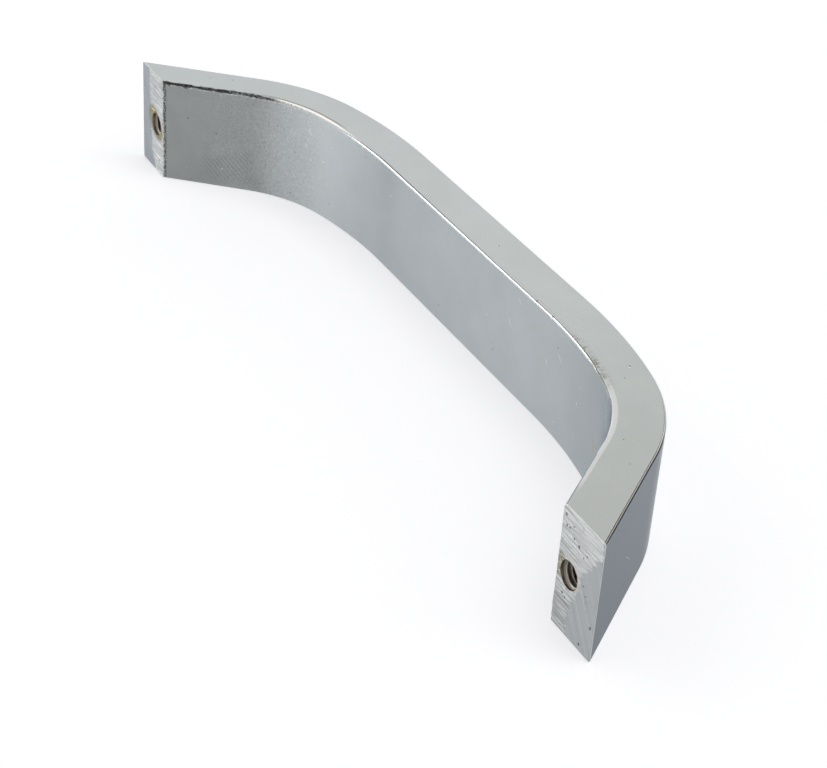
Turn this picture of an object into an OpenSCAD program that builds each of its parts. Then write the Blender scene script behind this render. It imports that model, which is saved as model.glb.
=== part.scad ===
// Bow drawer handle, a one-piece plated bar with two leaning legs.
// X runs along the two screw holes, the mounting plane is Y = 0 with the furniture on its +Y
// side, the grip stands out towards -Y, and Z runs across the bar's width.
// The origin lies in the mounting plane, midway between the screw holes.

/* [Mounting] */
// Distance between the two screw holes, centre to centre
hole_pitch = 128; // [96:1:160]
// Inside diameter of the tapped M4 holes
hole_d = 3.3; // [2.5:0.1:3.5]
// Distance from a hole's centre to the inner edge of its foot
hole_inset = 2.6; // [2.3:0.1:3.0]
// Least metal left between a hole's full bore and the leg's outer face
hole_wall = 0.75; // [0.5:0.05:1.2]
// Full angle of the drill tip at the bottom of a hole
drill_tip = 118; // [90:1:140]

/* [Bar] */
// Thickness of the bar
bar_t = 6.6; // [5.8:0.1:8.0]
// Width of the bar
bar_w = 16.8; // [12:0.2:24]
// Rounding of the two long edges on the finger side
inner_edge_r = 0.6; // [0.2:0.1:1.5]
// Rounding of the two long edges on the outer side
outer_edge_r = 0.35; // [0.2:0.05:1.5]

/* [Bow] */
// Height of the grip's outer face over the mounting plane
projection = 26.8; // [24:0.2:32]
// Angle between a leg and the mounting plane
leg_angle = 50; // [46:1:58]
// Outer radius of the bend over a leg
bend_r = 29; // [22:1:34]
// Outer radius of the flatter shoulder between the bend and the grip
shoulder_r = 80; // [50:1:100]
// Part of the turn that the shoulder makes
shoulder_turn = 14; // [8:1:20]

/* [Hidden] */

foot_l = bar_t / sin(leg_angle);
foot_in = hole_pitch / 2 - hole_inset;
foot_out = foot_in + foot_l;
bend_turn = leg_angle - shoulder_turn;

// Outer face of the bar: height where a leg starts to bend, length of the straight leg,
// and the half length of the straight grip
bend_h = projection - shoulder_r + (shoulder_r - bend_r) * cos(shoulder_turn)
    + bend_r * cos(leg_angle);
leg_l = bend_h / sin(leg_angle);
grip_half = foot_out - leg_l * cos(leg_angle) - bend_r * sin(leg_angle)
    - (shoulder_r - bend_r) * sin(shoulder_turn);

// Centres of the shoulder and the bend
shoulder_c = [grip_half, shoulder_r - projection];
bend_c = shoulder_c
    + (shoulder_r - bend_r) * [sin(shoulder_turn), -cos(shoulder_turn)];

// The legs start this far behind the mounting plane and are cut back to it
leg_spare = bar_t / tan(leg_angle) + 1;

// A leg leans over its hole, so its outer face sets how deep the full bore may go
hole_depth = ((foot_l - hole_inset - hole_d / 2) * sin(leg_angle) - hole_wall)
    / cos(leg_angle);
tip_l = hole_d / 2 / tan(drill_tip / 2);
over = 0.5;

// Flats that each curve is drawn with
edge_steps = 4;
bend_steps = 12;
shoulder_steps = 6;

// Cross-section, as [distance out from the outer face, height]: the finger side is at -bar_t
function corner(centre, radius, from) =
    [for (i = [0:edge_steps]) let (a = from + 90 * i / edge_steps)
        centre + radius * [cos(a), sin(a)]];

section = concat(
    corner([-outer_edge_r, bar_w / 2 - outer_edge_r], outer_edge_r, 0),
    corner([-bar_t + inner_edge_r, bar_w / 2 - inner_edge_r], inner_edge_r, 90),
    corner([-bar_t + inner_edge_r, -bar_w / 2 + inner_edge_r], inner_edge_r, 180),
    corner([-outer_edge_r, -bar_w / 2 + outer_edge_r], outer_edge_r, 270));

// Stations along the outer face, as [point, direction that the face looks in]
function arc(centre, radius, from, to, steps) =
    [for (i = [0:steps]) let (a = from + (to - from) * i / steps)
        [centre + radius * [cos(a), sin(a)], a]];

half_bow = concat(
    [[[foot_out, 0] + leg_spare * [cos(leg_angle), sin(leg_angle)], leg_angle - 90]],
    arc(bend_c, bend_r, leg_angle - 90, shoulder_turn - 90, bend_steps),
    [for (s = arc(shoulder_c, shoulder_r, shoulder_turn - 90, -90, shoulder_steps))
        if (s[1] < shoulder_turn - 90) s]);

bow = concat(half_bow,
    [for (i = [len(half_bow) - 1:-1:0])
        [[-half_bow[i][0][0], half_bow[i][0][1]], 180 - half_bow[i][1]]]);

// The bar's section carried through all stations
module bar() {
    n = len(section);
    last = (len(bow) - 1) * n;
    points = [for (s = bow, p = section)
        [s[0][0] + p[0] * cos(s[1]), s[0][1] + p[0] * sin(s[1]), p[1]]];
    sides = [for (i = [0:len(bow) - 2], j = [0:n - 1]) let (k = (j + 1) % n)
        [i * n + j, (i + 1) * n + j, (i + 1) * n + k, i * n + k]];
    ends = [[for (j = [0:n - 1]) j], [for (j = [n - 1:-1:0]) last + j]];
    polyhedron(points, concat(sides, ends));
}

// Blind screw hole that runs in from the mounting plane
module screw_hole()
    rotate([90, 0, 0]) {
        translate([0, 0, -over])
            cylinder(d = hole_d, h = hole_depth + over, $fn = 64);
        translate([0, 0, hole_depth])
            cylinder(d1 = hole_d, d2 = 0, h = tip_l, $fn = 64);
    }

module handle()
    color("silver")
    difference() {
        bar();
        translate([-foot_out - leg_spare, 0, -bar_w])
            cube([2 * (foot_out + leg_spare), leg_spare + bar_t, 2 * bar_w]);
        for (side = [-1, 1])
            translate([side * hole_pitch / 2, 0, 0]) screw_hole();
    }

handle();
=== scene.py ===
import math

import bpy
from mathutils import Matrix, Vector


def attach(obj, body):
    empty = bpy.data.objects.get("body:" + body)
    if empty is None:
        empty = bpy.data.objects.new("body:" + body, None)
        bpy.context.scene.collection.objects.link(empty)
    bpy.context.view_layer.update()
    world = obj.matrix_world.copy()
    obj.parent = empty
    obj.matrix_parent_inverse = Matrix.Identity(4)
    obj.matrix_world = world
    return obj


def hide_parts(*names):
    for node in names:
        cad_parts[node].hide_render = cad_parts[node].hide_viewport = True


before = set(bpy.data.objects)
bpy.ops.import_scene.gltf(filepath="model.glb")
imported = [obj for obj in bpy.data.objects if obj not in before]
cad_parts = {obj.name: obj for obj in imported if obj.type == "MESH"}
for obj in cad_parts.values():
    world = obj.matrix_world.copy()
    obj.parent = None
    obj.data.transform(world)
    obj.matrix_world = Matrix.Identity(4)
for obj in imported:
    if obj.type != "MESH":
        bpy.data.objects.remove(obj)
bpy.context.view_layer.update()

scene = bpy.context.scene
scene.view_settings.view_transform = "Standard"
mm = 0.001
touch = 0.001 * mm    # closer places count as the same


def deselectAll():
    if bpy.context.mode != "OBJECT":
        bpy.ops.object.mode_set(mode="OBJECT")
    bpy.ops.object.select_all(action="DESELECT")


def makeActive(piece):
    deselectAll()
    piece.select_set(True)
    bpy.context.view_layer.objects.active = piece


def editFresh(piece):
    # Opens the active piece in edit mode with nothing selected
    makeActive(piece)
    bpy.ops.object.mode_set(mode="EDIT")
    bpy.ops.mesh.select_all(action="DESELECT")


def pick(piece, kind, test):
    # Selects the faces, edges or vertices of a piece for which test(place, normal) holds
    bpy.ops.object.mode_set(mode="EDIT")
    bpy.ops.mesh.select_mode(type=kind)
    bpy.ops.mesh.select_all(action="DESELECT")
    bpy.ops.object.mode_set(mode="OBJECT")
    mesh = piece.data
    if kind == "FACE":
        for face in mesh.polygons:
            face.select = test(face.center, face.normal)
    elif kind == "EDGE":
        for edge in mesh.edges:
            ends = [mesh.vertices[i].co for i in edge.vertices]
            edge.select = test((ends[0] + ends[1]) / 2, (ends[1] - ends[0]).normalized())
    else:
        for vert in mesh.vertices:
            vert.select = test(vert.co, vert.normal)
    bpy.ops.object.mode_set(mode="EDIT")


def applyPlace(piece):
    makeActive(piece)
    bpy.ops.object.transform_apply(location=True, rotation=True, scale=True)


def applyModifier(piece, kind, **settings):
    makeActive(piece)
    modifier = piece.modifiers.new(kind.title(), kind)
    for name, value in settings.items():
        setattr(modifier, name, value)
    bpy.ops.object.modifier_apply(modifier=modifier.name)


def aimed(azimuth, elevation, distance):
    # Place and turn of a card or lamp that looks at the handle from this side
    a, e = math.radians(azimuth), math.radians(elevation)
    direction = Vector((math.cos(a) * math.cos(e), math.sin(a) * math.cos(e), math.sin(e)))
    turn = direction.to_track_quat("Z", "Y").to_euler()
    return {"location": Vector(studio["target"]) + direction * distance, "rotation": turn}


# Camera
cameraSetup = {
    "place": (-0.209375, 0.105062, 0.136288),
    "turn": (57.7453, -3.4805, -117.5181),
    "lens": 85.8145,
    "sensor": 36.0,
}


def addCamera(c):
    bpy.ops.object.camera_add(location=c["place"], rotation=[math.radians(a) for a in c["turn"]])
    camera = bpy.context.object
    camera.name = "camera"
    camera.data.lens = c["lens"]
    camera.data.sensor_width = c["sensor"]
    scene.camera = camera


deselectAll()
addCamera(cameraSetup)
print("camera ready")


# Node helpers
def addNode(tree, kind, **values):
    node = tree.nodes.new(kind)
    for name, value in values.items():
        if hasattr(node, name):
            setattr(node, name, value)
        else:
            node.inputs[name.replace("_", " ")].default_value = value
    return node


def freshMaterial(name):
    material = bpy.data.materials.new(name)
    material.use_nodes = True
    material.node_tree.nodes.clear()
    return material, material.node_tree


def mathNode(tree, operation, first, second=None, third=None, clamp=False):
    node = addNode(tree, "ShaderNodeMath", operation=operation, use_clamp=clamp)
    for socket, value in zip(node.inputs, (first, second, third)):
        if value is None:
            continue
        if isinstance(value, (int, float)):
            socket.default_value = value
        else:
            tree.links.new(value, socket)
    return node.outputs[0]


def rampNode(tree, source, fromMin, fromMax, toMin=0.0, toMax=1.0, smooth=True):
    node = addNode(tree, "ShaderNodeMapRange", clamp=True)
    node.interpolation_type = "SMOOTHSTEP" if smooth else "LINEAR"
    tree.links.new(source, node.inputs["Value"])
    for name, value in (("From Min", fromMin), ("From Max", fromMax), ("To Min", toMin),
                        ("To Max", toMax)):
        node.inputs[name].default_value = value
    return node.outputs[0]


def mixColour(tree, factor, first, second, blend="MIX"):
    node = addNode(tree, "ShaderNodeMix", data_type="RGBA", blend_type=blend)
    for socket, value in ((node.inputs[0], factor), (node.inputs[6], first),
                          (node.inputs[7], second)):
        if isinstance(value, bpy.types.NodeSocket):
            tree.links.new(value, socket)
        else:
            socket.default_value = value
    return node.outputs[2]


def noiseNode(tree, vector, scale, detail=2.0, roughness=0.5):
    node = addNode(tree, "ShaderNodeTexNoise", noise_dimensions="3D")
    tree.links.new(vector, node.inputs["Vector"])
    node.inputs["Scale"].default_value = scale
    node.inputs["Detail"].default_value = detail
    node.inputs["Roughness"].default_value = roughness
    return node.outputs[0]


# Floor, studio cards and lamps
studio = {
    "target": (0, -0.012, 0),
    "floorSize": 6.0,
    "floorHeight": -0.00841,
    "paper": (0.52, 0.53, 0.54, 1),
    "glow": (0.615, 0.61, 0.625, 1),
    "sheenShare": 0.7,
    "sheen": (0.91, 0.95, 1.0, 1),
    "sheenRoughness": 0.34,
    "world": (1.0, 1.0, 1.0, 1),
    "worldStrength": 1.0,
}

# Cards: azimuth, elevation, distance, width, height, colour
cards = {
    "cardCamera": (127, 42, 1.1, 1.00, 1.25, (0.35, 0.335, 0.32)),
    "cardLeft": (80, 33, 1.1, 0.42, 0.42, (0.80, 0.79, 0.775)),
    "cardGrip": (33, 24, 1.1, 0.46, 0.28, (0.41, 0.42, 0.43)),
    "cardBoom": (8, 27, 1.1, 0.56, 0.26, (0.30, 0.285, 0.27)),
    "cardBack": (-46, 55, 1.1, 0.80, 0.42, (0.20, 0.21, 0.20)),
    "cardOutside": (-74, 47, 1.1, 0.92, 0.70, (0.20, 0.20, 0.21)),
    "cardRight": (-100, 7, 1.1, 0.90, 0.28, (0.02, 0.03, 0.05)),
    "cardTop": (60, 72, 1.2, 1.0, 0.5, (0.3, 0.3, 0.3)),
}

# Lamps: azimuth, elevation, distance, width, height, radiance
lamps = {
    "lowStrip": (33, 10, 1.2, 0.64, 0.18, 3.4),
    "overhead": (-120, 70, 1.4, 0.8, 0.8, 1.4),
}


def addFloor(s):
    bpy.ops.mesh.primitive_plane_add(size=s["floorSize"], location=(0, 0, s["floorHeight"]))
    floor = bpy.context.object
    floor.name = "floor"
    applyPlace(floor)
    material, tree = freshMaterial("paperFloor")
    paper = addNode(tree, "ShaderNodeBsdfDiffuse", Color=s["paper"])
    glow = addNode(tree, "ShaderNodeEmission", Color=s["glow"])
    sheen = addNode(tree, "ShaderNodeBsdfGlossy", Color=s["sheen"], Roughness=s["sheenRoughness"])
    path = addNode(tree, "ShaderNodeLightPath")
    seen = mathNode(tree, "ADD", path.outputs["Is Camera Ray"], path.outputs["Is Glossy Ray"])
    seen = mathNode(tree, "ADD", seen, path.outputs["Is Transmission Ray"], clamp=True)
    tree.links.new(seen, glow.inputs["Strength"])
    both = addNode(tree, "ShaderNodeAddShader")
    tree.links.new(paper.outputs[0], both.inputs[0])
    tree.links.new(glow.outputs[0], both.inputs[1])
    share = mathNode(tree, "MULTIPLY", path.outputs["Is Glossy Ray"], s["sheenShare"])
    mix = addNode(tree, "ShaderNodeMixShader")
    tree.links.new(share, mix.inputs[0])
    tree.links.new(both.outputs[0], mix.inputs[1])
    tree.links.new(sheen.outputs[0], mix.inputs[2])
    out = addNode(tree, "ShaderNodeOutputMaterial")
    tree.links.new(mix.outputs[0], out.inputs["Surface"])
    floor.data.materials.append(material)


def addCard(name, azimuth, elevation, distance, width, height, colour):
    bpy.ops.mesh.primitive_plane_add(size=1, **aimed(azimuth, elevation, distance))
    card = bpy.context.object
    card.name = name
    card.scale = (width, height, 1)
    applyPlace(card)
    card.visible_camera = False
    material, tree = freshMaterial(name + "Paint")
    paint = addNode(tree, "ShaderNodeBsdfDiffuse", Color=(*colour, 1))
    out = addNode(tree, "ShaderNodeOutputMaterial")
    tree.links.new(paint.outputs[0], out.inputs["Surface"])
    card.data.materials.append(material)


def addLamp(name, azimuth, elevation, distance, width, height, radiance):
    bpy.ops.object.light_add(type="AREA", **aimed(azimuth, elevation, distance))
    lamp = bpy.context.object
    lamp.name = name
    lamp.data.shape = "RECTANGLE"
    lamp.data.size = width
    lamp.data.size_y = height
    lamp.data.energy = radiance * width * height * math.pi


def addWorld(s):
    world = bpy.data.worlds.new("studioWorld")
    world.use_nodes = True
    world.node_tree.nodes.clear()
    sky = addNode(world.node_tree, "ShaderNodeBackground", Color=s["world"],
                  Strength=s["worldStrength"])
    out = addNode(world.node_tree, "ShaderNodeOutputWorld")
    world.node_tree.links.new(sky.outputs[0], out.inputs["Surface"])
    scene.world = world


addWorld(studio)
addFloor(studio)
for name, values in cards.items():
    addCard(name, *values)
for name, values in lamps.items():
    addLamp(name, *values)
print("studio ready")


# The bar
bow = {
    "holePitch": 128 * mm,
    "holeInset": 2.6 * mm,
    "thick": 6.6 * mm,
    "wide": 16.8 * mm,
    "innerEdge": 0.6 * mm,
    "innerEdgeLow": 0.2 * mm,
    "outerEdge": 0.35 * mm,
    "edgeSegments": 5,
    "projection": 26.8 * mm,
    "legAngle": 50,
    "bendRadius": 29 * mm,
    "shoulderRadius": 80 * mm,
    "shoulderTurn": 14,
    "spare": 7 * mm,
    "sideCuts": 6,
    "faceCuts": 34,
    "footBreak": 0.07 * mm,
    "footSteps": ((0.366, 0.634), (0.634, 0.366)),    # in, up: shares of the broken edge
    "footRing": 0.12 * mm,
    "footMerge": 0.04 * mm,
    "legCuts": 54,
    "bendCuts": 48,
    "shoulderCuts": 20,
    "gripCuts": 12,
}


def bowPoints(b):
    # Places on the bow's outer face, for the right half: where the leg meets the mounting plane,
    # the centres of the bend and the shoulder, and the half length of the straight grip
    lean, ease = math.radians(b["legAngle"]), math.radians(b["shoulderTurn"])
    footOut = b["holePitch"] / 2 - b["holeInset"] + b["thick"] / math.sin(lean)
    step = b["shoulderRadius"] - b["bendRadius"]
    bendHeight = (b["projection"] - b["shoulderRadius"] + step * math.cos(ease)
                  + b["bendRadius"] * math.cos(lean))
    legLength = bendHeight / math.sin(lean)
    gripHalf = (footOut - legLength * math.cos(lean) - b["bendRadius"] * math.sin(lean)
                - step * math.sin(ease))
    shoulder = Vector((gripHalf, b["shoulderRadius"] - b["projection"], 0))
    bend = shoulder + step * Vector((math.sin(ease), -math.cos(ease), 0))
    return footOut, legLength, gripHalf, shoulder, bend


footOut, legLength, gripHalf, shoulderCentre, bendCentre = bowPoints(bow)


# Straightened coordinates of the bar: length along the bow from its middle, depth below the
# outer face, and height
def straighten(point):
    x, y = abs(point.x), point.y
    ease, turn = math.radians(bow["shoulderTurn"]), math.radians(bow["legAngle"])
    middle = bow["thick"] / 2
    if x <= gripHalf:
        length, depth = x, y + bow["projection"]
    else:
        length = gripHalf
        arm = Vector((x, y)) - shoulderCentre.to_2d()
        angle = math.atan2(arm.y, arm.x) + math.pi / 2
        if angle <= ease:
            length += (bow["shoulderRadius"] - middle) * angle
            depth = bow["shoulderRadius"] - arm.length
        else:
            length += (bow["shoulderRadius"] - middle) * ease
            arm = Vector((x, y)) - bendCentre.to_2d()
            angle = math.atan2(arm.y, arm.x) + math.pi / 2
            if angle <= turn:
                length += (bow["bendRadius"] - middle) * (angle - ease)
                depth = bow["bendRadius"] - arm.length
            else:
                length += (bow["bendRadius"] - middle) * (turn - ease)
                length += arm.x * math.cos(turn) + arm.y * math.sin(turn)
                depth = bow["bendRadius"] - (arm.x * math.sin(turn) - arm.y * math.cos(turn))
    return math.copysign(length, point.x), depth, point.z


def addBar(b):
    lean = math.radians(b["legAngle"])
    along = Vector((math.cos(lean), math.sin(lean), 0))    # down the leg, out of the feet
    facing = Vector((math.sin(lean), -math.cos(lean), 0))  # out of the leg's outer face
    start = Vector((footOut, 0, 0)) + along * b["spare"] - facing * b["thick"] / 2
    bpy.ops.mesh.primitive_plane_add(size=1, location=start,
                                     rotation=(math.pi / 2, 0, lean - math.pi / 2))
    bar = bpy.context.object
    bar.name = "bowHandle"
    bar.scale = (b["thick"], b["wide"], 1)
    applyPlace(bar)
    # Rounded corners of the section, then even cuts on its four straight sides
    outer = start.dot(facing)
    for radius, test in (
            (b["outerEdge"], lambda p, n: p.dot(facing) > outer),
            (b["innerEdge"], lambda p, n: p.dot(facing) < outer and p.z > 0),
            (b["innerEdgeLow"], lambda p, n: p.dot(facing) < outer and p.z < 0)):
        pick(bar, "VERT", test)
        bpy.ops.mesh.bevel(offset=radius, segments=b["edgeSegments"], affect="VERTICES")
    for cuts, test in (
            (b["sideCuts"], lambda p, d: p.z > b["wide"] / 2 - touch),
            (b["sideCuts"], lambda p, d: p.z < -b["wide"] / 2 + touch),
            (b["faceCuts"], lambda p, d: abs(p.z) < mm and p.dot(facing) > outer),
            (b["faceCuts"], lambda p, d: abs(p.z) < mm and p.dot(facing) < outer)):
        pick(bar, "EDGE", test)
        bpy.ops.mesh.subdivide(number_cuts=cuts)
    # The leg, the bend, the shoulder and half the grip
    pick(bar, "FACE", lambda p, n: True)
    for part in range(b["legCuts"]):
        bpy.ops.mesh.extrude_region_move(TRANSFORM_OT_translate={
            "value": -along * (legLength + b["spare"]) / b["legCuts"]})
    bpy.ops.mesh.spin(steps=b["bendCuts"], angle=math.radians(b["legAngle"] - b["shoulderTurn"]),
                      center=bendCentre, axis=(0, 0, 1))
    bpy.ops.mesh.spin(steps=b["shoulderCuts"], angle=math.radians(b["shoulderTurn"]),
                      center=shoulderCentre, axis=(0, 0, 1))
    for part in range(b["gripCuts"]):
        bpy.ops.mesh.extrude_region_move(TRANSFORM_OT_translate={
            "value": (-gripHalf / b["gripCuts"], 0, 0)})
    pick(bar, "FACE", lambda p, n: abs(p.x) < 0.01 * mm and abs(n.x) > 0.9)
    bpy.ops.mesh.delete(type="FACE")
    applyModifier(bar, "MIRROR", use_axis=(True, False, False), use_clip=True,
                  merge_threshold=0.01 * mm)
    # The feet are cut flat, and their broken rims rise to the mounting plane in two steps
    editFresh(bar)
    bpy.ops.mesh.select_all(action="SELECT")
    bpy.ops.mesh.bisect(plane_co=(0, -b["footBreak"], 0), plane_no=(0, 1, 0), use_fill=True,
                        clear_outer=True, threshold=1e-7)
    bpy.ops.mesh.select_all(action="SELECT")
    bpy.ops.mesh.remove_doubles(threshold=touch)
    bpy.ops.mesh.normals_make_consistent(inside=False)
    pick(bar, "VERT", lambda p, n: p.y > -b["footBreak"] - touch)
    bpy.ops.mesh.remove_doubles(threshold=b["footMerge"])
    pick(bar, "FACE", lambda p, n: n.y > 0.999 and p.y > -b["footBreak"] - touch)
    for inward, up in b["footSteps"]:
        bpy.ops.mesh.inset(thickness=inward * b["footBreak"], depth=up * b["footBreak"],
                           use_individual=False)
    bpy.ops.mesh.inset(thickness=b["footRing"], use_individual=False)
    bpy.ops.object.mode_set(mode="OBJECT")
    return bar


bar = addBar(bow)
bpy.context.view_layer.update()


# Wear in the shape: a rolled rim and burrs
wear = {
    "rollBands": ((0.62 * mm, 0.11 * mm), (1.5 * mm, 0.04 * mm)),    # width and drop
    "rollSteps": 6,
    "rollFrom": -37 * mm,
    "rollFull": -44 * mm,
    "rollFade": -72 * mm,
    "rollFlat": 0.3,
    "rollBelow": 0.1 * mm,
    "topFrom": 7.79 * mm,
    "footMargin": 0.2 * mm,
    "sideMargin": 0.5 * mm,
    "edgeMargin": 0.15 * mm,
    "burrFrom": 54.5 * mm,
    "burr": 0.05 * mm,
    "rimBurr": 0.06 * mm,
    "poreRagged": 0.04 * mm,
}

# Pores and dents in the feet: x, z and radius in millimetres, and how far the centre lies outside
pores = (
    (-66.85, 0.36, 0.36, 0.66), (-67.50, -0.62, 0.30, 0.68), (-67.84, -1.35, 0.35, 0.66),
    (-68.04, -2.36, 0.28, 0.70), (-61.95, 7.20, 0.24, 0.1), (-62.30, 5.86, 0.22, 0.1),
    (-62.95, 5.95, 0.17, 0.1), (-65.10, 4.75, 0.27, 0.3), (-63.70, 6.55, 0.15, 0.1),
    (-64.00, 5.10, 0.17, 0.1), (-66.30, 3.95, 0.17, 0.2), (-66.90, 4.60, 0.15, 0.2),
    (-62.95, -3.20, 0.22, 0.1), (-63.55, -3.50, 0.17, 0.1), (-69.15, -3.90, 0.24, 0.2),
    (-67.40, -7.50, 0.22, 0.1), (66.05, 3.40, 0.16, 0.2), (63.10, -6.20, 0.2, 0.2),
    (64.40, 6.10, 0.16, 0.2),
)


def onInnerTopRim(point):
    reach = bow["innerEdge"] * 1.02
    _, depth, height = straighten(point)
    return depth > bow["thick"] - reach and height > bow["wide"] / 2 - reach


def rollSpans(w):
    # Nested spans along the bow, one for each step of the roll
    for step in range(w["rollSteps"]):
        share = (step + 0.5) / w["rollSteps"]
        yield (w["rollFade"] + (w["rollFull"] - w["rollFade"]) * share,
               w["rollFrom"] + (w["rollFull"] - w["rollFrom"]) * share)


def wearBar(piece, w):
    # The inner rim of the top side rolls off round the nearer bend, a little at each step
    for width, drop in w["rollBands"]:
        inside = bow["thick"] - width
        for low, high in rollSpans(w):
            pick(piece, "VERT", lambda p, n: p.x < 0 and p.z > w["topFrom"]
                 and p.y < -w["footMargin"] and straighten(p)[1] > inside
                 and low < straighten(p)[0] < high)
            bpy.ops.transform.translate(value=(0, 0, -drop / w["rollSteps"]))
    # Its rounding is flatter there
    for low, high in rollSpans(w):
        pick(piece, "VERT", lambda p, n: p.x < 0 and onInnerTopRim(p) and p.y < -w["footMargin"]
             and low < straighten(p)[0] < high)
        bpy.ops.transform.resize(value=(1, 1, w["rollFlat"] ** (1 / w["rollSteps"])),
                                 center_override=(0, 0, bow["wide"] / 2 - w["rollBelow"]))
    # Burrs along the far leg's inner rim
    pick(piece, "VERT", lambda p, n: onInnerTopRim(p) and straighten(p)[0] > w["burrFrom"]
         and p.y < -w["footMargin"])
    bpy.ops.transform.vertex_random(offset=w["burr"], uniform=1.0, normal=0.0, seed=11)
    bpy.ops.object.mode_set(mode="OBJECT")


def burrFeet(piece, w):
    # Burrs along the inner edge of both feet, pressed flat where they cross the mounting plane
    makeActive(piece)
    sides = bow["wide"] / 2 - w["sideMargin"]
    pick(piece, "VERT", lambda p, n: -w["footMargin"] < p.y < -touch and abs(p.z) < sides
         and straighten(p)[1] > bow["thick"] - w["edgeMargin"])
    bpy.ops.transform.vertex_random(offset=w["rimBurr"], uniform=1.0, normal=0.0, seed=5)
    pick(piece, "VERT", lambda p, n: p.y > 1e-7)
    bpy.ops.transform.resize(value=(1, 0, 1), center_override=(0, 0, 0))
    bpy.ops.object.mode_set(mode="OBJECT")


def addPores(places):
    deselectAll()
    made = []
    for x, z, radius, out in places:
        bpy.ops.mesh.primitive_ico_sphere_add(subdivisions=2, radius=radius * mm,
                                              location=(x * mm, radius * out * mm, z * mm))
        made.append(bpy.context.object)
    for one in made:
        one.select_set(True)
    bpy.ops.object.join()
    applyPlace(made[-1])
    editFresh(made[-1])
    bpy.ops.mesh.select_all(action="SELECT")
    bpy.ops.transform.vertex_random(offset=wear["poreRagged"], uniform=1.0, normal=0.0, seed=3)
    bpy.ops.object.mode_set(mode="OBJECT")
    return made[-1]


# Tapped holes
tapped = {
    "boreRadius": 1.65 * mm,
    "grooveDepth": 0.33 * mm,
    "pitch": 0.7 * mm,
    "crestFlat": 0.13 * mm,
    "rootFlat": 0.09 * mm,
    "depth": 4.03 * mm,
    "tipAngle": 118,
    "tipShare": 0.02,
    "turns": 9,
    "steps": 48,
    "mouthDepth": 0.32 * mm,
    "proud": 0.2 * mm,
    "flare": 1.05,
    "ragged": 0.05 * mm,
    "seeds": {1: 7, -1: 4},
}


def addTap(t, side):
    # One pitch of the thread's outline, turned into a helical plug along +Z, then laid along -Y
    bpy.ops.mesh.primitive_plane_add(size=mm, location=(0, 0, 0))
    plug = bpy.context.object
    plug.name = "threadPlug"
    editFresh(plug)
    bpy.ops.mesh.select_mode(type="VERT")
    bpy.ops.mesh.select_all(action="SELECT")
    bpy.ops.mesh.merge(type="CENTER")
    bpy.ops.transform.translate(value=(t["boreRadius"], 0, -2 * t["pitch"]))
    flank = (t["pitch"] - t["crestFlat"] - t["rootFlat"]) / 2
    for across, up in ((0, t["crestFlat"]), (t["grooveDepth"], flank), (0, t["rootFlat"]),
                       (-t["grooveDepth"], flank)):
        bpy.ops.mesh.extrude_region_move(TRANSFORM_OT_translate={"value": (across, 0, up)})
    applyModifier(plug, "SCREW", axis="Z", steps=t["steps"], render_steps=t["steps"],
                  screw_offset=t["pitch"], iterations=t["turns"])
    editFresh(plug)
    bpy.ops.mesh.select_all(action="SELECT")
    bpy.ops.mesh.remove_doubles(threshold=0.002 * mm)
    for height, below in ((t["mouthDepth"], True), (t["depth"], False)):
        bpy.ops.mesh.select_all(action="SELECT")
        bpy.ops.mesh.bisect(plane_co=(0, 0, height), plane_no=(0, 0, 1), use_fill=True,
                            clear_inner=below, clear_outer=not below, threshold=1e-7)
    # The drill tip at one end, and a flared, ragged mouth at the other
    tip = t["boreRadius"] / math.tan(math.radians(t["tipAngle"] / 2))
    pick(plug, "FACE", lambda p, n: p.z > t["depth"] - touch and abs(n.z) > 0.99)
    bpy.ops.mesh.extrude_region_move(TRANSFORM_OT_translate={"value": (0, 0, tip)})
    bpy.ops.transform.resize(value=(t["tipShare"], t["tipShare"], 1), center_override=(0, 0, 0))
    pick(plug, "FACE", lambda p, n: p.z < t["mouthDepth"] + touch and abs(n.z) > 0.99)
    rise = t["mouthDepth"] + t["proud"]
    bpy.ops.mesh.extrude_region_move(TRANSFORM_OT_translate={"value": (0, 0, -rise)})
    bpy.ops.transform.resize(value=(t["flare"], t["flare"], 1), center_override=(0, 0, 0))
    bpy.ops.transform.vertex_random(offset=t["ragged"], uniform=1.0, normal=0.0,
                                    seed=t["seeds"][side])
    bpy.ops.mesh.select_all(action="SELECT")
    bpy.ops.mesh.normals_make_consistent(inside=False)
    bpy.ops.object.mode_set(mode="OBJECT")
    plug.rotation_euler = (math.pi / 2, 0, 0)
    plug.location = (side * bow["holePitch"] / 2, 0, 0)
    applyPlace(plug)
    return plug


def cutFrom(piece, cutter):
    applyModifier(piece, "BOOLEAN", operation="DIFFERENCE", solver="EXACT", object=cutter)
    bpy.data.objects.remove(cutter, do_unlink=True)


wearBar(bar, wear)
print("bar worn")
cutFrom(bar, addPores(pores))
for side in (1, -1):
    cutFrom(bar, addTap(tapped, side))
burrFeet(bar, wear)
print("holes tapped:", len(bar.data.polygons), "faces")


# The same coordinates as an attribute, for the materials
def keepBowCoordinates(piece):
    values = []
    for vert in piece.data.vertices:
        values.extend(straighten(vert.co))
    layer = piece.data.attributes.new("bowPath", "FLOAT_VECTOR", "POINT")
    layer.data.foreach_set("vector", values)


keepBowCoordinates(bar)


# Material helpers
def mapped(tree, source, scale=(1, 1, 1), turn=(0, 0, 0), shift=(0, 0, 0)):
    # Turned first, then stretched and shifted
    for name, value in (("Rotation", [math.radians(a) for a in turn]), ("Scale", scale)):
        node = addNode(tree, "ShaderNodeMapping")
        node.inputs[name].default_value = value
        tree.links.new(source, node.inputs["Vector"])
        source = node.outputs[0]
    node.inputs["Location"].default_value = shift
    return source


def split(tree, source):
    node = addNode(tree, "ShaderNodeSeparateXYZ")
    tree.links.new(source, node.inputs[0])
    return node.outputs


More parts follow.
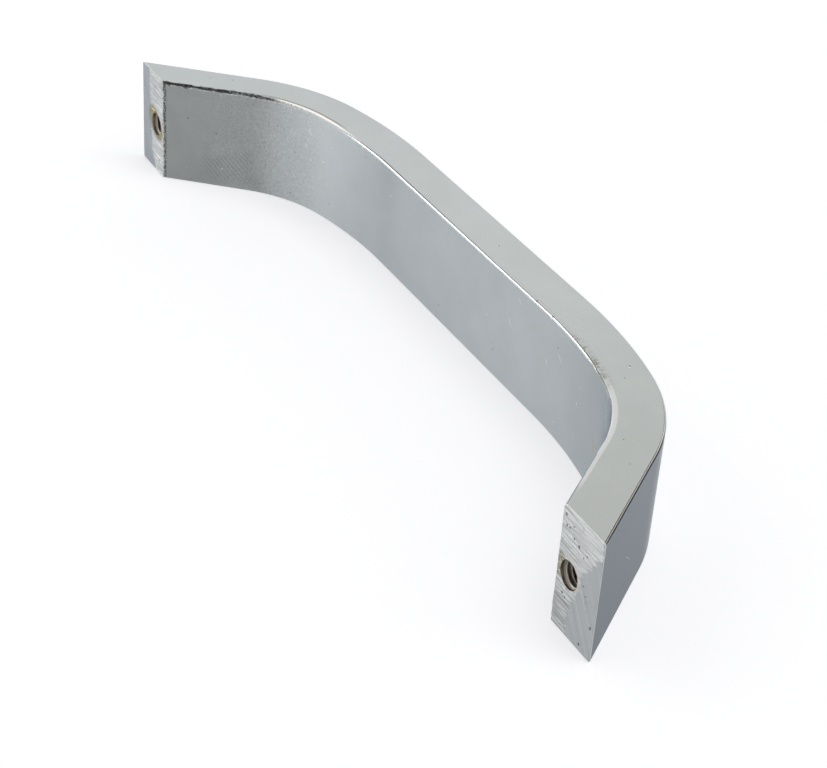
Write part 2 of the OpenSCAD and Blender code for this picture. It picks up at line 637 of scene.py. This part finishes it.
def product(tree, *values):
    result = values[0]
    for value in values[1:]:
        result = mathNode(tree, "MULTIPLY", result, value)
    return result


def total(tree, *values):
    result = values[0]
    for value in values[1:]:
        result = mathNode(tree, "ADD", result, value)
    return result


def spanNode(tree, source, span, low=0.0, high=1.0, smooth=True):
    # From low to high over a span in millimetres
    return rampNode(tree, source, span[0] * mm, span[1] * mm, low, high, smooth)


def windowNode(tree, source, low, high, soft):
    # 1 between low and high, fading to 0 over soft on both sides, in millimetres
    return product(tree, spanNode(tree, source, (low - soft, low)),
                   spanNode(tree, source, (high, high + soft), 1.0, 0.0))


def areaNode(tree, where, spans):
    # The product of a mask for each coordinate named: two values fade in from the first to the
    # second, and three are a window with its softness
    masks = []
    for name, span in spans.items():
        if len(span) == 3:
            masks.append(windowNode(tree, where[name], *span))
        elif span[0] < span[1]:
            masks.append(spanNode(tree, where[name], span))
        else:
            masks.append(spanNode(tree, where[name], span[::-1], 1.0, 0.0))
    return product(tree, *masks)


def toneNode(tree, noise, tones):
    # Spreads the usual range of a noise between two tones
    return rampNode(tree, noise, 0.3, 0.7, tones[0], tones[1], smooth=False)


def spots(tree, place, marks, soft=0.5):
    # 1 inside small round marks given as x, y, z, radius in millimetres
    result = None
    for x, y, z, radius in marks:
        node = addNode(tree, "ShaderNodeVectorMath", operation="DISTANCE")
        tree.links.new(place, node.inputs[0])
        node.inputs[1].default_value = (x * mm, y * mm, z * mm)
        mask = rampNode(tree, node.outputs["Value"], radius * mm * soft, radius * mm, 1.0, 0.0)
        result = mask if result is None else mathNode(tree, "MAXIMUM", result, mask)
    return result


def finishMaterial(tree, colour, roughness, height, settings):
    shader = addNode(tree, "ShaderNodeBsdfPrincipled")
    for name, value in settings.items():
        shader.inputs[name].default_value = value
    tree.links.new(colour, shader.inputs["Base Color"])
    tree.links.new(roughness, shader.inputs["Roughness"])
    bump = addNode(tree, "ShaderNodeBump")
    bump.inputs["Strength"].default_value = 1.0
    bump.inputs["Distance"].default_value = mm    # heights are in millimetres
    tree.links.new(height, bump.inputs["Height"])
    tree.links.new(bump.outputs[0], shader.inputs["Normal"])
    out = addNode(tree, "ShaderNodeOutputMaterial")
    tree.links.new(shader.outputs[0], out.inputs["Surface"])


# Plated metal: bright, a little hazy, with polishing ripples and orange peel at the far bend
plating = {
    "colour": (0.545, 0.564, 0.555, 1),
    "edgeTint": (0.77, 0.81, 0.84, 1),
    "roughness": 0.15,
    "haze": 0.07,
    "cloudSize": 7 * mm,
    "cloudTone": (0.965, 1.03),
    "grainSize": 0.15 * mm,
    "grainTone": (0.975, 1.025),
    "middleSize": 1.1 * mm,
    "smallSize": 0.22 * mm,
    "peelSize": 0.33 * mm,
    "peelCalm": 0.0014,
    "peelStrong": 0.075,
    "peelTone": 0.50,
    "waveSize": 2.6 * mm,
    "waveDepth": 0.004,
    "waveStrong": 0.050,
    "rippleDepth": 0.012,
    "ripplePatch": 4 * mm,
    "hairScale": (160, 3000, 7500),
    "hairTurn": (0, 8, 0),
    "hairDepth": -0.0006,
    "stainScale": (1500, 700, 1),
    "lineTurn": (31, 39),            # where the painted highlight line moves up, along the bow
    "lineAcross": (0.74, 0.41),      # its middle and half width before and after that
    "lineHalf": (0.13, 0.24),
    "burrRagged": 0.36 * mm,
    "topPaintedShade": (0.88, 0.885, 0.865, 1),
    "legShade": (0.605, 0.615, 0.64, 1),
    "paintedBendHighlight": (0.96, 0.94, 0.91, 1),
    "burrPaintedReflection": (0.17, 0.175, 0.19, 1),
    "fringeDarkReflection": (0.33, 0.27, 0.22, 1),
    "paintedLineHighlight": (0.97, 0.955, 0.93, 1),
    "paintedWarmHighlight": (1.0, 0.92, 0.84, 1),
    "paintedDarkReflection": (0.05, 0.05, 0.056, 1),
    "paintedColdHighlight": (0.44, 0.50, 0.54, 1),
    "wornRim": (0.90, 0.90, 0.87, 1),
    "rimDirt": (0.10, 0.11, 0.08, 1),
    "stain": (0.33, 0.31, 0.25, 1),
    "lightSpeck": (0.90, 0.92, 0.93, 1),
    "rustSpot": (0.50, 0.30, 0.12, 1),
    "darkSpot": (0.12, 0.12, 0.12, 1),
    "oilSpot": (0.62, 0.50, 0.20, 1),
}

# Areas of the plating, in millimetres: along the bow from its middle, deep below its outer face,
# high, across the inner rounded edge (0 to 1.2) and round the outer one (0 to 0.7)
nearLeg = (-50, -56)
areas = {
    "inner": {"deep": (6.2, 6.5)},
    "farBend": {"deep": (6.2, 6.5), "along": (46, 60, 8)},
    "top": {"high": (8.2, 8.35)},
    "legFace": {"along": nearLeg, "deep": (0.12, 0.02), "round": (0.60, 0.70)},
    "bendHighlightPatch": {"deep": (6.54, 6.58), "along": (-57, -47, 3.5), "high": (1.5, 5)},
    "stain": {"deep": (5.2, 6.3), "high": (7.9, 8.1), "along": (-41, -34, 5)},
    "burr": {"ragged": (0.40, 0.86, 0.20), "along": (51.5, 54)},
    "line": {"off": (0.05, -0.04), "along": (-34, 51, 2)},
    "fringeDarkReflection": {"across": (-0.20, 0.02, 0.06), "along": (39, 53, 4)},
    "warmHighlight": {"round": (0.03, 0.20, 0.04), "along": nearLeg},
    "dark": {"round": (0.34, 0.62, 0.08), "along": nearLeg},
    "coldHighlight": {"round": (0.70, 0.88, 0.06), "along": nearLeg},
    "bendHighlightBand": {"across": (0.70, 1.35, 0.15), "along": (-62, -46, 4)},
    "bendHighlightRim": {"across": (0.05, 1.2, 0.20), "along": (-66, -44, 4)},
    "worn": {"out": (-0.20, -0.12)},
    "dirt": {"out": (-0.55, -0.35), "deep": (6.2, 6.5), "along": (0, 1)},
}

# Polishing ripples: slope, spacing in millimetres, strength and area
ripples = (
    (-41, 0.42, 0.08, {"along": (63, 80, 3), "high": (-8, -1, 2)}),
    (-44, 0.60, 0.15, {"along": (56.5, 63.5, 3), "high": (-6.2, -2.2, 2)}),
    (41, 0.42, 0.09, {"along": (66, 78, 3), "high": (1, 7, 2)}),
)

# Marks on the plating: x, y, z, radius in millimetres
rustMarks = ((58.23, -10.71, 8.4, 0.22), (55.66, -6.85, 0.82, 0.22), (45.76, -16.07, 0.52, 0.2))
darkMarks = ((48.60, -14.29, 4.08, 0.17), (46.32, -15.77, -6.79, 0.17), (60.2, -7.6, 8.4, 0.14),
             (-39.39, -22.87, 8.4, 0.17), (-41.55, -20.70, 8.4, 0.13), (-53.16, -13.08, 8.4, 0.13),
             (-57.76, -11.01, 8.4, 0.11), (-5.77, -23.10, 8.4, 0.15), (-20.69, -20.4, 8.24, 0.22),
             (-24.91, -20.31, 8.18, 0.2), (4.53, -20.2, -5.92, 0.16), (-11.18, -20.2, -4.51, 0.15),
             (-27.26, -20.06, 4.83, 0.15), (29.01, -19.95, 6.63, 0.14), (38.15, -18.6, -5.42, 0.14),
             (58.69, -3.23, 2.78, 0.16), (-62.43, -9.04, -5.25, 0.34))
lightMarks = ((-33.82, -19.38, 0.31, 0.2), (-34.56, -19.27, 3.09, 0.14), (20.97, -20.2, 3.86, 0.18),
              (-8.85, -20.2, -0.21, 0.15), (-28.27, -20.0, -6.1, 0.14), (-39.7, -22.6, 8.4, 0.13),
              (55.02, -7.6, -5.27, 0.2), (42.76, -17.39, 0.28, 0.15), (40.01, -18.18, 1.06, 0.15))
oilMarks = ((-40.2, -18.15, -1.3, 0.28), (-40.5, -18.05, -1.75, 0.3),
            (-40.55, -18.02, -2.3, 0.32), (-40.8, -17.95, -2.8, 0.26), (-40.75, -17.95, -1.25, 0.22))

# Bright scratches: both ends and the half width in millimetres
scratches = (
    ((-27.52, -20.04, 4.01), (-28.56, -19.98, 3.2), 0.07),
    ((-16.64, -20.2, 6.61), (-17.25, -20.2, 5.9), 0.06),
    ((-14.70, -20.2, 2.3), (-15.20, -20.2, 1.5), 0.07),
    ((-24.60, -20.16, 1.6), (-25.1, -20.15, 0.8), 0.07),
    ((-33.77, -19.38, -4.5), (-34.5, -19.28, -5.1), 0.07),
    ((43.35, -17.17, 5.25), (42.7, -17.42, 4.65), 0.09),
    ((43.65, -17.05, 3.65), (43.2, -17.23, 3.3), 0.08),
    ((43.95, -16.93, 2.6), (43.5, -17.12, 2.3), 0.08),
    ((-62.95, -8.40, -0.65), (-61.7, -9.90, -2.3), 0.09),
)


def specks(tree, place, spacing, radius):
    # Sparse round specks scattered through space
    node = addNode(tree, "ShaderNodeTexVoronoi", feature="F1")
    tree.links.new(place, node.inputs["Vector"])
    node.inputs["Scale"].default_value = 1 / (spacing * mm)
    return rampNode(tree, node.outputs["Distance"], radius / spacing / 2, radius / spacing, 1.0,
                    0.0)


def strokes(tree, place, lines):
    # 1 inside thin straight marks
    result = None
    for start, end, width in lines:
        first, span = Vector(start) * mm, (Vector(end) - Vector(start)) * mm
        arm = addNode(tree, "ShaderNodeVectorMath", operation="SUBTRACT")
        tree.links.new(place, arm.inputs[0])
        arm.inputs[1].default_value = first
        dot = addNode(tree, "ShaderNodeVectorMath", operation="DOT_PRODUCT")
        tree.links.new(arm.outputs[0], dot.inputs[0])
        dot.inputs[1].default_value = span / span.length_squared
        share = mathNode(tree, "MULTIPLY", dot.outputs["Value"], 1.0, clamp=True)
        along = addNode(tree, "ShaderNodeVectorMath", operation="SCALE")
        along.inputs[0].default_value = span
        tree.links.new(share, along.inputs["Scale"])
        gap = addNode(tree, "ShaderNodeVectorMath", operation="DISTANCE")
        tree.links.new(arm.outputs[0], gap.inputs[0])
        tree.links.new(along.outputs[0], gap.inputs[1])
        mask = rampNode(tree, gap.outputs["Value"], width * mm * 0.4, width * mm, 1.0, 0.0)
        result = mask if result is None else mathNode(tree, "MAXIMUM", result, mask)
    return result


def rippleNode(tree, path, where, slope, spacing, strength, area):
    wave = addNode(tree, "ShaderNodeTexWave", wave_type="BANDS", bands_direction="X",
                   Scale=math.pi / 10 / (spacing * mm), Distortion=8.0, Detail=2.0,
                   Detail_Scale=0.16)
    flat = mapped(tree, path, scale=(1, 0, 1), turn=(0, slope, 0))
    tree.links.new(flat, wave.inputs["Vector"])
    return product(tree, wave.outputs["Fac"], areaNode(tree, where, area), strength)


def platedMetal(p):
    material, tree = freshMaterial("platedMetal")
    place = addNode(tree, "ShaderNodeTexCoord").outputs["Object"]
    path = addNode(tree, "ShaderNodeAttribute", attribute_name="bowPath").outputs["Vector"]
    length, depth, height = split(tree, path)
    where = {"along": length, "deep": depth, "high": height, "out": split(tree, place)[1]}
    # How far over the rounded long edges of the top side: other places with the same sum are
    # moved well away from it
    away = 10 * mm
    acrossStart = bow["wide"] / 2 - bow["thick"] + bow["innerEdge"]
    where["across"] = total(
        tree, mathNode(tree, "SUBTRACT", acrossStart, height), depth,
        product(tree, mathNode(tree, "LESS_THAN", depth, bow["thick"] - 1.4 * mm), away))
    roundStart = bow["wide"] / 2 + bow["outerEdge"]
    where["round"] = total(
        tree, mathNode(tree, "SUBTRACT", roundStart, depth), product(tree, height, -1.0),
        product(tree, mathNode(tree, "GREATER_THAN", depth, 1.2 * mm), away))

    def area(name):
        return areaNode(tree, where, areas[name])

    def paint(colour, mask, name, share=1.0):
        mask = product(tree, mask, share) if share < 1 else mask
        return mixColour(tree, mask, colour, p[name])

    inner, farBend = area("inner"), area("farBend")
    middle = noiseNode(tree, place, 1 / p["middleSize"], detail=4.0, roughness=0.65)
    small = noiseNode(tree, place, 1 / p["smallSize"], detail=1.0)

    # Shape of the surface
    peel = noiseNode(tree, place, 1 / p["peelSize"], detail=1.0)
    peelDepth = mathNode(tree, "MULTIPLY_ADD", farBend, p["peelStrong"] - p["peelCalm"],
                         p["peelCalm"])
    wave = noiseNode(tree, place, 1 / p["waveSize"], detail=2.0)
    waveDepth = mathNode(tree, "MULTIPLY_ADD", farBend, p["waveStrong"] - p["waveDepth"],
                         p["waveDepth"])
    waves = total(tree, *[rippleNode(tree, path, where, *one) for one in ripples])
    patches = rampNode(tree, noiseNode(tree, place, 1 / p["ripplePatch"], detail=1.0), 0.38, 0.60)
    waves = product(tree, waves, inner, patches)
    hairs = noiseNode(tree, mapped(tree, path, p["hairScale"], p["hairTurn"]), 1.0, detail=1.0)
    hair = product(tree, rampNode(tree, hairs, 0.70, 0.78), inner)
    surface = total(tree, product(tree, peel, peelDepth), product(tree, wave, waveDepth),
                    product(tree, waves, p["rippleDepth"]), product(tree, hair, p["hairDepth"]))

    # Colour: soft clouds, ripples and grain
    cloud = noiseNode(tree, place, 1 / p["cloudSize"], detail=3.0)
    grain = noiseNode(tree, place, 1 / p["grainSize"], detail=0.0)
    peelTone = mathNode(tree, "MULTIPLY", mathNode(tree, "SUBTRACT", peel, 0.5), farBend)
    tone = product(tree, toneNode(tree, cloud, p["cloudTone"]),
                   mathNode(tree, "SUBTRACT", 1.0, waves), toneNode(tree, grain, p["grainTone"]),
                   mathNode(tree, "MULTIPLY_ADD", peelTone, p["peelTone"], 1.0))
    colour = mixColour(tree, 1.0, p["colour"], tone, "MULTIPLY")
    # Painted shade: the top side is painted darker towards the nearer leg
    topShadeMask = product(tree, spanNode(tree, length, (-60, -8), 1.0, 0.0, False), area("top"))
    colour = mixColour(tree, topShadeMask, colour, p["topPaintedShade"], "MULTIPLY")
    # Painted shade: the nearer leg's outer face is painted darker
    colour = mixColour(tree, area("legFace"), colour, p["legShade"], "MULTIPLY")
    # Painted highlight: a lighter patch high on the inner face of the nearer bend
    colour = paint(colour, area("bendHighlightPatch"), "paintedBendHighlight")

    # Tarnish in fine streaks across the inner rim of the nearer bend
    streaks = noiseNode(tree, mapped(tree, path, p["stainScale"]), 1.0, detail=4.0,
                        roughness=0.65)
    rimStain = product(tree, area("stain"), rampNode(tree, streaks, 0.38, 0.62),
                       rampNode(tree, middle, 0.30, 0.52))
    colour = paint(colour, rimStain, "stain", 0.75)

    # Painted dark reflection: a ragged dark line along the far leg's burred inner rim
    where["ragged"] = mathNode(tree, "MULTIPLY_ADD", small, p["burrRagged"], mathNode(
        tree, "SUBTRACT", where["across"], p["burrRagged"] / 2))
    burr = product(tree, area("burr"), rampNode(tree, small, 0.34, 0.44))
    colour = paint(colour, burr, "burrPaintedReflection")
    # A painted highlight line: low on the rounding along the grip, high on it round the far bend
    middleLine, halfLine = [spanNode(tree, length, p["lineTurn"], values[0] * mm, values[1] * mm,
                                     False) for values in (p["lineAcross"], p["lineHalf"])]
    offLine = mathNode(tree, "ABSOLUTE", mathNode(tree, "SUBTRACT", where["across"], middleLine))
    where["off"] = mathNode(tree, "SUBTRACT", offLine, halfLine)
    faint = spanNode(tree, length, (29, 34), 0.35, 1.0)
    colour = paint(colour, product(tree, area("line"), faint), "paintedLineHighlight")
    # Painted reflection: a thin brownish dark line on the top side, next to the far bend's inner rim
    colour = paint(colour, area("fringeDarkReflection"), "fringeDarkReflection", 0.95)
    # Painted reflections along the nearer leg's outer edge: a warm light fringe, a dark line and a
    # cold light line
    colour = paint(colour, area("warmHighlight"), "paintedWarmHighlight")
    paintedDarkReflection = product(tree, area("dark"), spanNode(tree, length, (-79, -74), 0.35, 1.0))
    colour = paint(colour, paintedDarkReflection, "paintedDarkReflection", 0.95)
    # Painted highlight: the cold light line, also a little rougher
    coldHighlight = area("coldHighlight")
    colour = paint(colour, coldHighlight, "paintedColdHighlight")
    # A painted highlight: a pale band on the nearer bend's inner rim
    bandHighlight = mathNode(tree, "MAXIMUM", product(tree, area("bendHighlightBand"), 0.8),
                    product(tree, area("bendHighlightRim"), 0.3))
    colour = paint(colour, bandHighlight, "paintedBendHighlight")

    # Worn rims at the feet and dirt along the far foot's inner edge
    worn = area("worn")
    colour = paint(colour, worn, "wornRim")
    dirt = product(tree, area("dirt"), rampNode(tree, small, 0.40, 0.52))
    colour = paint(colour, dirt, "rimDirt", 0.85)

    # Specks and spots
    bright = product(tree, specks(tree, place, 2.6, 0.12), inner)
    bright = total(tree, bright, spots(tree, place, lightMarks), strokes(tree, place, scratches))
    bright = mathNode(tree, "MULTIPLY", bright, 0.75, clamp=True)
    colour = paint(colour, bright, "lightSpeck")
    dark = specks(tree, mapped(tree, place, shift=(0.01, 0.02, 0.03)), 3.6, 0.11)
    colour = paint(colour, dark, "darkSpot", 0.6)
    for marks, name in ((rustMarks, "rustSpot"), (darkMarks, "darkSpot"), (oilMarks, "oilSpot")):
        colour = paint(colour, spots(tree, place, marks), name, 0.8)

    # Roughness: hazy clouds, duller stain, hairlines and worn rims
    rough = mathNode(tree, "MULTIPLY_ADD", cloud, p["haze"], p["roughness"] - p["haze"] / 2)
    rough = total(tree, rough, product(tree, rimStain, 0.2), product(tree, hair, 0.12),
                  product(tree, worn, 0.35), product(tree, coldHighlight, 0.25), product(tree, dirt, 0.3))
    finishMaterial(tree, colour, rough, surface,
                   {"Metallic": 1.0, "Specular Tint": p["edgeTint"]})
    return material


# Ground feet: coarse grinding marks across the foot, and a smoother zone towards the outer edge
ground = {
    "coarse": (0.60, 0.60, 0.585, 1),
    "smoothNear": (0.465, 0.475, 0.470, 1),
    "smoothFar": (0.375, 0.395, 0.415, 1),
    "torn": (0.26, 0.25, 0.23, 1),
    "ridge": (0.92, 0.92, 0.90, 1),
    "olive": (0.30, 0.265, 0.135, 1),
    "gilt": (0.80, 0.72, 0.40, 1),
    "rim": (0.68, 0.62, 0.54, 1),
    "edge": (0.86, 0.84, 0.79, 1),
    "pitShade": (0.10, 0.085, 0.07, 1),
    # Stretch and turn of the marks
    "endScale": (180, 1, 2300),
    "wide": ((90, 1, 4300), (0, 2, 0)),
    "fine": ((260, 1, 11000), (0, -1.5, 0)),
    "tornScale": (1700, 1, 4200),
    "arcs": ((1500, 1, 110), (0, -34, 0)),
    "microSize": 0.12 * mm,
    # Depths in millimetres and tones
    "wideDepth": 0.080,
    "fineDepth": 0.045,
    "tornDepth": -0.030,
    "arcDepth": 0.014,
    "microDepth": 0.002,
    "streakTone": (0.56, 1.36),
    "arcTone": (0.91, 1.08),
    # Painted light: the coarse zone gets lighter towards the top on the nearer foot and darker
    # towards the top on the farther one
    "paintedLightNear": ((-6, 7), 0.80, 1.14),
    "paintedLightFar": ((-7, 7), 1.06, 0.84),
    # End of the coarse zone, millimetres from the inner edge: a span of heights, and what the end
    # gains over it
    "endNear": (((-5, 1.8), 3.2, 5.1), ((1.8, 6.1), 0.0, 3.3)),
    "endFar": (((-7.7, -5.5), 3.2, 4.6), ((-5.5, 6.4), 0.0, 0.9)),
    "endRagged": 2.6 * mm,
    # Patches as ellipses: centre and half sizes in millimetres, turn
    "patchFar": (64.5, -0.05, 3.25, 2.15, 35),
    "patchNear": (-61.9, 0.3, 1.1, 1.7, 0),
    "giltLine": (65.55, 1.85, 0.85, 0.13, -4),
    "mouthRagged": 1.6 * mm,
}

# Areas of the feet, in millimetres: across from the inner edge, tall from the middle, out of the
# mounting plane, and reach from the nearer screw hole
footAreas = {
    "mouth": {"ragged": (3.1, 2.85)},
    "roundHole": {"reach": (3.2, 2.4)},
    "sideRim": {"tall": (8.1, 8.2)},
    "innerRim": {"across": (0.3, 0.2)},
    "outerRim": {"across": (8.35, 8.42)},
    "broken": {"out": (-0.015, -0.05)},
    "pitShade": {"out": (-0.07, -0.13)},
}


def ellipse(tree, x, z, centreX, centreZ, halfX, halfZ, turn, soft=0.25):
    # 1 inside a turned ellipse in the plane of the feet
    c, s = math.cos(math.radians(turn)), math.sin(math.radians(turn))
    dx = mathNode(tree, "SUBTRACT", x, centreX * mm)
    dz = mathNode(tree, "SUBTRACT", z, centreZ * mm)
    u = total(tree, product(tree, dx, c / (halfX * mm)), product(tree, dz, s / (halfX * mm)))
    v = total(tree, product(tree, dx, -s / (halfZ * mm)), product(tree, dz, c / (halfZ * mm)))
    far = total(tree, product(tree, u, u), product(tree, v, v))
    return rampNode(tree, far, 1.0 - soft, 1.0 + soft, 1.0, 0.0)


def blend(tree, factor, first, second):
    return mathNode(tree, "MULTIPLY_ADD", factor, mathNode(tree, "SUBTRACT", second, first), first)


def holeReach(tree, x, z):
    # Distance from the axis of the nearer screw hole
    side = mathNode(tree, "SUBTRACT", mathNode(tree, "ABSOLUTE", x), bow["holePitch"] / 2)
    return mathNode(tree, "SQRT", total(tree, product(tree, side, side), product(tree, z, z)))


def groundMetal(g):
    material, tree = freshMaterial("groundMetal")
    place = addNode(tree, "ShaderNodeTexCoord").outputs["Object"]
    x, y, z = split(tree, place)
    farFoot = rampNode(tree, x, -mm, mm)
    innerEdge = bow["holePitch"] / 2 - bow["holeInset"]
    across = mathNode(tree, "SUBTRACT", mathNode(tree, "ABSOLUTE", x), innerEdge)
    where = {"across": across, "tall": mathNode(tree, "ABSOLUTE", z), "out": y,
             "reach": holeReach(tree, x, z)}

    def area(name):
        return areaNode(tree, where, footAreas[name])

    # Where the coarse grinding ends, measured from the inner edge: the strokes end raggedly
    nearEnd, farEnd = [total(tree, *[spanNode(tree, z, span, low * mm, high * mm, False)
                                     for span, low, high in g[name]])
                       for name in ("endNear", "endFar")]
    ends = noiseNode(tree, mapped(tree, place, g["endScale"]), 1.0, detail=2.0)
    border = mathNode(tree, "MULTIPLY_ADD", ends, g["endRagged"], mathNode(
        tree, "SUBTRACT", blend(tree, farFoot, nearEnd, farEnd), g["endRagged"] / 2))
    coarse = spanNode(tree, mathNode(tree, "SUBTRACT", across, border), (-0.3, 0.3), 1.0, 0.0)
    smooth = mathNode(tree, "SUBTRACT", 1.0, coarse)

    wide = noiseNode(tree, mapped(tree, place, *g["wide"]), 1.0, detail=3.0, roughness=0.68)
    fine = noiseNode(tree, mapped(tree, place, *g["fine"]), 1.0, detail=1.0)
    torn = noiseNode(tree, mapped(tree, place, g["tornScale"]), 1.0, detail=3.0)
    tornMask = rampNode(tree, torn, 0.60, 0.70)
    arcs = noiseNode(tree, mapped(tree, place, *g["arcs"]), 1.0, detail=1.0)
    micro = noiseNode(tree, place, 1 / g["microSize"], detail=1.0)

    coarseHeight = total(tree, product(tree, wide, g["wideDepth"]),
                         product(tree, fine, g["fineDepth"]),
                         product(tree, tornMask, g["tornDepth"]))
    smoothHeight = total(tree, product(tree, arcs, g["arcDepth"]),
                         product(tree, micro, g["microDepth"]))
    surface = total(tree, product(tree, coarseHeight, coarse), product(tree, smoothHeight, smooth))

    # Painted light: brightness ramps up the height of each foot
    paintedLightNear, paintedLightFar = [spanNode(tree, z, *g[name], False) for name in ("paintedLightNear", "paintedLightFar")]
    streak = product(tree, toneNode(tree, wide, g["streakTone"]),
                     blend(tree, farFoot, paintedLightNear, paintedLightFar))
    coarsePaint = mixColour(tree, 1.0, g["coarse"], streak, "MULTIPLY")
    ridge = product(tree, rampNode(tree, fine, 0.54, 0.63), rampNode(tree, wide, 0.38, 0.52))
    coarsePaint = mixColour(tree, ridge, coarsePaint, g["ridge"])
    coarsePaint = mixColour(tree, product(tree, tornMask, 0.6), coarsePaint, g["torn"])
    smoothPaint = mixColour(tree, farFoot, g["smoothNear"], g["smoothFar"])
    smoothPaint = mixColour(tree, 1.0, smoothPaint, toneNode(tree, arcs, g["arcTone"]), "MULTIPLY")
    colour = mixColour(tree, coarse, smoothPaint, coarsePaint)

    # Dull patches and pale torn metal round the holes, flecks along the border of the coarse zone
    broken = rampNode(tree, torn, 0.42, 0.52)
    patch = total(tree, product(tree, ellipse(tree, x, z, *g["patchFar"]),
                                rampNode(tree, micro, 0.3, 0.5, 0.75, 1.0)),
                  product(tree, ellipse(tree, x, z, *g["patchNear"]), broken))
    where["ragged"] = mathNode(tree, "MULTIPLY_ADD", torn, g["mouthRagged"], where["reach"])
    colour = mixColour(tree, product(tree, area("mouth"), 0.6), colour, g["rim"])
    offBorder = mathNode(tree, "ABSOLUTE", mathNode(tree, "SUBTRACT", across, border))
    flecks = mathNode(tree, "MAXIMUM", area("roundHole"),
                      spanNode(tree, offBorder, (0.3, 0.9), 0.8, 0.0))
    flecks = product(tree, flecks, rampNode(tree, torn, 0.38, 0.30), 0.9)
    colour = mixColour(tree, flecks, colour, g["ridge"])
    colour = mixColour(tree, product(tree, patch, 0.85), colour, g["olive"])
    colour = mixColour(tree, ellipse(tree, x, z, *g["giltLine"]), colour, g["gilt"])

    # Bright broken rims, and painted shade deep inside the pits and dents
    rim = mathNode(tree, "MAXIMUM", area("sideRim"),
                   mathNode(tree, "MAXIMUM", area("innerRim"), area("outerRim")))
    colour = mixColour(tree, product(tree, rim, area("broken")), colour, g["edge"])
    pitShade = product(tree, area("pitShade"), mathNode(tree, "SUBTRACT", 1.0, rim))
    colour = mixColour(tree, pitShade, colour, g["pitShade"])

    rough = rampNode(tree, coarse, 0.0, 1.0, 0.34, 0.42, smooth=False)
    rough = total(tree, rough, product(tree, patch, 0.15), product(tree, pitShade, 0.3))
    finishMaterial(tree, colour, rough, surface, {"Metallic": 1.0})
    return material


# Thread: pale worn crests with painted shade deeper in the bore, oil on the upper side, rust and a
# dark mouth
bore = {
    "crest": (0.95, 0.93, 0.86, 1),
    "smear": (0.34, 0.32, 0.28, 1),
    "root": (0.30, 0.26, 0.21, 1),
    "rust": (0.15, 0.05, 0.028, 1),
    "mouth": (0.17, 0.14, 0.10, 1),
    "crestHeight": 0.07 * mm,
    "dirtSize": 0.5 * mm,
    "roughness": (0.32, 0.6),
    # Spans in millimetres out of the mounting plane and upwards, and the shares at their ends
    "litOut": ((-3.6, -0.8), 0.25, 1.0),
    "smearUp": ((-0.6, 0.9), 0.0, 0.8),
    "rustOut": ((-1.9, -1.0), 1.0, 0.0),
    "rustUp": ((-0.6, 1.0), 1.0, 0.3),
    "mouthOut": ((-0.42, -0.28), 0.0, 1.0),
}


def boreMetal(b):
    material, tree = freshMaterial("boreMetal")
    place = addNode(tree, "ShaderNodeTexCoord").outputs["Object"]
    x, y, z = split(tree, place)
    crest = rampNode(tree, holeReach(tree, x, z), tapped["boreRadius"],
                     tapped["boreRadius"] + b["crestHeight"], 1.0, 0.0)
    dirt = noiseNode(tree, place, 1 / b["dirtSize"], detail=4.0)
    # Painted shade: the crests fade towards the root colour deeper in the bore
    lit = product(tree, crest, spanNode(tree, y, *b["litOut"]))
    colour = mixColour(tree, lit, b["root"], b["crest"])
    colour = mixColour(tree, spanNode(tree, z, *b["smearUp"]), colour, b["smear"])
    rustMask = product(tree, rampNode(tree, dirt, 0.44, 0.56), spanNode(tree, y, *b["rustOut"]),
                       spanNode(tree, z, *b["rustUp"]))
    colour = mixColour(tree, product(tree, rustMask, 0.85), colour, b["rust"])
    mouth = product(tree, spanNode(tree, y, *b["mouthOut"]), rampNode(tree, dirt, 0.38, 0.55))
    colour = mixColour(tree, product(tree, mouth, 0.65), colour, b["mouth"])
    finishMaterial(tree, colour, toneNode(tree, dirt, b["roughness"]),
                   product(tree, dirt, 0.05), {"Metallic": 0.9})
    return material


# Faces of the feet and the bores: margins from the bar's sides and from the mounting plane, and
# the reach of a bore from its axis
bare = {
    "skin": 0.1 * mm,
    "sides": 0.4 * mm,
    "footDeep": 0.15 * mm,
    "rimDeep": 0.091 * mm,
    "facing": 0.95,
    "boreReach": 2.4 * mm,
}


def paintBar(piece, m):
    for material in (platedMetal(plating), groundMetal(ground), boreMetal(bore)):
        piece.data.materials.append(material)
    plate, foot, thread = range(3)
    for face in piece.data.polygons:
        centre = face.center
        _, depth, height = straighten(centre)
        inside = (m["skin"] < depth < bow["thick"] - m["skin"]
                  and abs(height) < bow["wide"] / 2 - m["sides"])
        onFoot = centre.y > -m["footDeep"] and face.normal.y > m["facing"]
        inBore = math.hypot(abs(centre.x) - bow["holePitch"] / 2, centre.z) < m["boreReach"]
        if inside and inBore and not onFoot:
            face.material_index = thread
        elif inside or onFoot or centre.y > -m["rimDeep"]:
            face.material_index = foot
        else:
            face.material_index = plate


def weightNormals(piece):
    # The flat faces keep their own direction up to the rounded edges. The modifier drops areas as
    # small as this bar's in square metres, so the bar is enlarged for it and then set back.
    for factor in (1 / mm, mm):
        piece.scale = (factor, factor, factor)
        applyPlace(piece)
        if factor > 1:
            applyModifier(piece, "WEIGHTED_NORMAL", mode="FACE_AREA", weight=80, keep_sharp=True)


paintBar(bar, bare)
makeActive(bar)
bpy.ops.object.shade_smooth_by_angle(angle=math.radians(25))
weightNormals(bar)
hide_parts("handle")
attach(bar, "root")
print("bar finished:", len(bar.data.polygons), "faces")

deselectAll()
